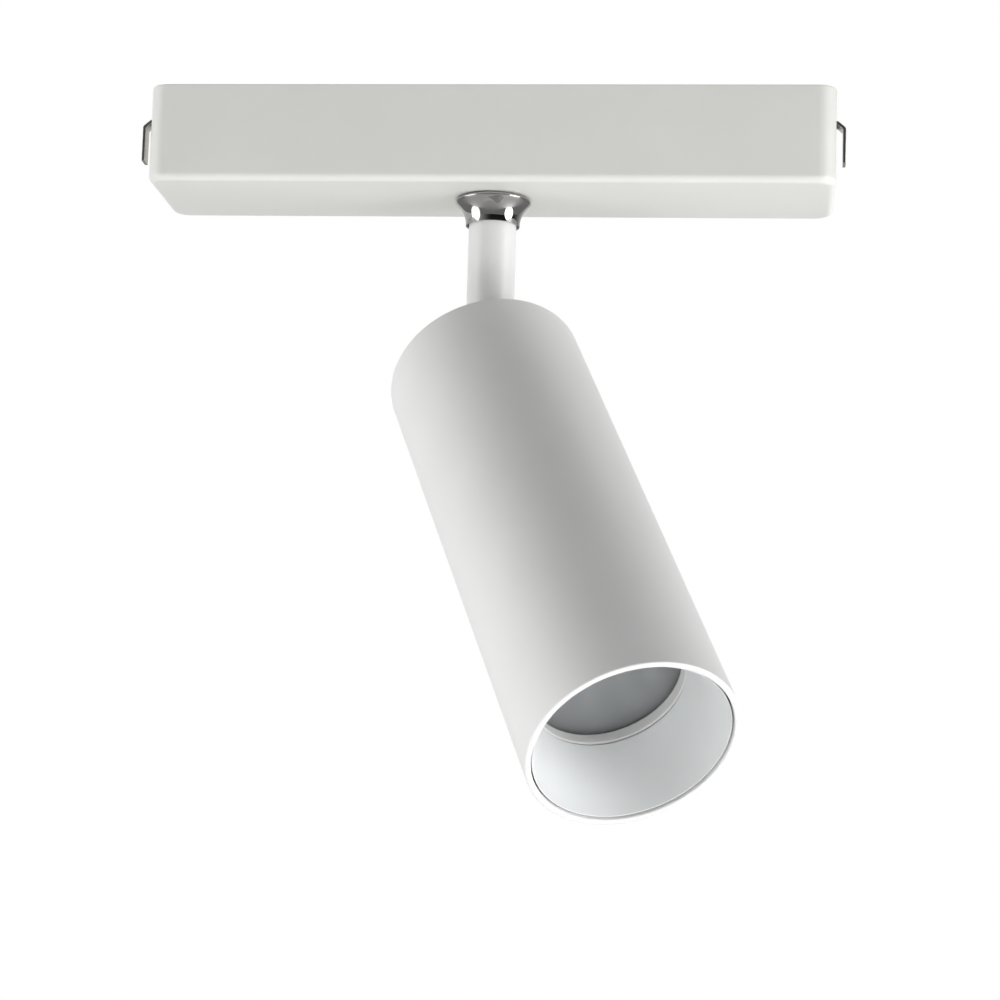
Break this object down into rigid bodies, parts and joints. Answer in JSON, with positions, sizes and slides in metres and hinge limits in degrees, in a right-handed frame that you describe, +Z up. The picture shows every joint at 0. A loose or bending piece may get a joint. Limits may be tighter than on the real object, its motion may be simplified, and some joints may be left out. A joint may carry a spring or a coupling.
{
  "type": "track spotlight",
  "caption": "Low-voltage track spotlight: a slim box module with snap latches, a flared swivel collar, a short stem and a tilting cylindrical head with a deep conical baffle.",
  "frame": {"origin": "middle of the module's top face, which seats against the track", "axes": "+X along the module, -Y its front, +Z up out of the top face towards the track"},
  "size_m": [0.1644, 0.1098, 0.1739],
  "materials": {
    "white_paint": "satin white powder coat",
    "white_plastic": "moulded, fine texture",
    "black_plastic": "moulded",
    "chrome": "mirror plated",
    "steel": "rolled spring steel",
    "nickel": "nickel plated",
    "brass": "turned and gilded",
    "aluminium": "plain, satin",
    "circuit_board": "solder mask",
    "copper": "enamelled wire",
    "phosphor": "silicone over phosphor",
    "glass": "clear",
    "rubber": "matt",
    "red_cable": "silicone sleeve",
    "black_cable": "silicone sleeve",
    "white_cable": "silicone sleeve"
  },
  "bodies": {
    "module": {"adapter_housing": "white_paint", "top_cover": "white_plastic", "cover_screw_1": "steel", "cover_screw_2": "steel", "cover_screw_3": "steel", "cover_screw_4": "steel", "magnet_left": "nickel", "magnet_right": "nickel", "contact_block": "black_plastic", "contact_board": "circuit_board", "pin_spring_1": "steel", "pin_spring_2": "steel", "pin_spring_3": "steel", "pin_spring_4": "steel", "driver_board": "circuit_board", "board_screw_1": "steel", "board_screw_2": "steel", "inductor": "copper", "capacitor": "aluminium", "control_chip": "black_plastic", "lead_terminal": "white_plastic", "supply_lead_positive": "red_cable", "supply_lead_negative": "black_cable", "lamp_lead_upper": "white_cable", "swivel_bush": "white_plastic", "chrome_collar": "chrome"},
    "left_latch": {"latch_left": "steel"},
    "right_latch": {"latch_right": "steel"},
    "pin_1": {"contact_pin_1": "brass"},
    "pin_2": {"contact_pin_2": "brass"},
    "pin_3": {"contact_pin_3": "brass"},
    "pin_4": {"contact_pin_4": "brass"},
    "stem": {"stem_tube": "white_paint", "wave_washer": "steel", "stop_washer": "steel", "lock_nut": "brass", "lamp_lead_middle": "white_cable", "hinge_fork": "steel", "hinge_screw": "steel", "hinge_nut": "steel", "hinge_washer_left": "steel", "hinge_washer_right": "steel"},
    "head": {"lamp_tube": "white_paint", "rear_cap": "aluminium", "cable_grommet": "rubber", "cap_screw_1": "steel", "cap_screw_2": "steel", "heat_sink": "aluminium", "led_board": "white_plastic", "led_chip": "phosphor", "led_holder": "white_plastic", "reflector": "chrome", "lens": "glass", "lens_ring": "white_plastic", "front_baffle": "white_paint", "lamp_lead_lower": "white_cable"}
  },
  "joints": [
    {"name": "pan", "type": "hinge", "parent": "module", "child": "stem", "pos_m": [0, 0, -0.0233], "axis": [0, 0, 1], "range_deg": [-170, 170]},
    {"name": "tilt", "type": "hinge", "parent": "stem", "child": "head", "pos_m": [0, 0, -0.0671], "axis": [-0.8796, -0.4756, 0], "range_deg": [-107.8, 22.2]},
    {"name": "left_latch_flex", "type": "hinge", "parent": "module", "child": "left_latch", "pos_m": [-0.0791, -0.0104, -0.0076], "axis": [0, -1, 0], "range_deg": [0, 7], "stiffness_Nm_per_rad": 0.15, "springref_deg": -5.73},
    {"name": "right_latch_flex", "type": "hinge", "parent": "module", "child": "right_latch", "pos_m": [0.0791, -0.0104, -0.0076], "axis": [0, 1, 0], "range_deg": [0, 7], "stiffness_Nm_per_rad": 0.15, "springref_deg": -5.73},
    {"name": "pin_1_press", "type": "slide", "parent": "module", "child": "pin_1", "axis": [0, 0, -1], "range_m": [0, 0.001], "stiffness_N_per_m": 900, "springref_m": -0.0004, "deforming": ["pin_spring_1"]},
    {"name": "pin_2_press", "type": "slide", "parent": "module", "child": "pin_2", "axis": [0, 0, -1], "range_m": [0, 0.001], "stiffness_N_per_m": 900, "springref_m": -0.0004, "deforming": ["pin_spring_2"]},
    {"name": "pin_3_press", "type": "slide", "parent": "module", "child": "pin_3", "axis": [0, 0, -1], "range_m": [0, 0.001], "stiffness_N_per_m": 900, "springref_m": -0.0004, "deforming": ["pin_spring_3"]},
    {"name": "pin_4_press", "type": "slide", "parent": "module", "child": "pin_4", "axis": [0, 0, -1], "range_m": [0, 0.001], "stiffness_N_per_m": 900, "springref_m": -0.0004, "deforming": ["pin_spring_4"]}
  ]
}
